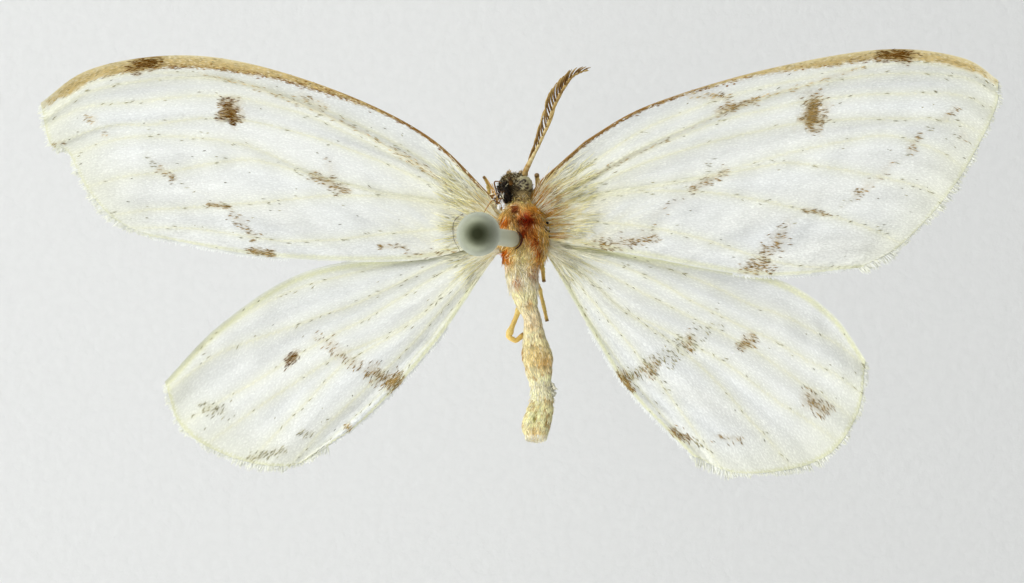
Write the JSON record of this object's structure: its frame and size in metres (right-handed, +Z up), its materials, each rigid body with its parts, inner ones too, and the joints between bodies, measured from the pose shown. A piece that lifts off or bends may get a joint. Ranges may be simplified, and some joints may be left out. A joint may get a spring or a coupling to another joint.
{
  "type": "pinned moth specimen, leucula cachiaria",
  "caption": "Set moth with spread pale wings on a leaning insect pin that stands in a foam base.",
  "frame": {"origin": "middle of the foam base's bottom face", "axes": "+X to the moth's right, +Y towards its head, +Z up"},
  "size_m": [0.03, 0.02, 0.0389],
  "materials": {
    "base_foam": "pale matt closed-cell foam",
    "pin_steel": "dull grey-green steel pin with a domed head",
    "thorax_hair": "rust-brown and cream hair",
    "abdomen_scales": "cream and tan flat scales",
    "head_scales": "grey-brown scales and bristles",
    "eye_shell": "dark shrunken eye, satin",
    "leg_chitin": "tan dry chitin, dark at the broken ends",
    "antenna_chitin": "brown shaft with fine side branches",
    "forewing_membrane": "thin white scaled membrane with cream veins and brown marks",
    "hindwing_membrane": "thin white scaled membrane with cream veins and brown marks"
  },
  "bodies": {
    "root": {"stand_base": "base_foam", "insect_pin": "pin_steel", "thorax": "thorax_hair", "abdomen": "abdomen_scales", "abdomen_tip": "abdomen_scales", "head": "head_scales", "eye_left": "eye_shell", "eye_right": "eye_shell", "palp_left": "leg_chitin", "palp_right": "leg_chitin", "antenna_right": "antenna_chitin", "antenna_left_stub": "antenna_chitin", "forewing_left": "forewing_membrane", "forewing_right": "forewing_membrane", "hindwing_left": "hindwing_membrane", "hindwing_right": "hindwing_membrane", "foreleg_left": "leg_chitin", "foreleg_right": "leg_chitin", "midleg_left": "leg_chitin", "midleg_right": "leg_chitin", "hindleg_left": "leg_chitin", "hindleg_right": "leg_chitin"}
  },
  "joints": []
}
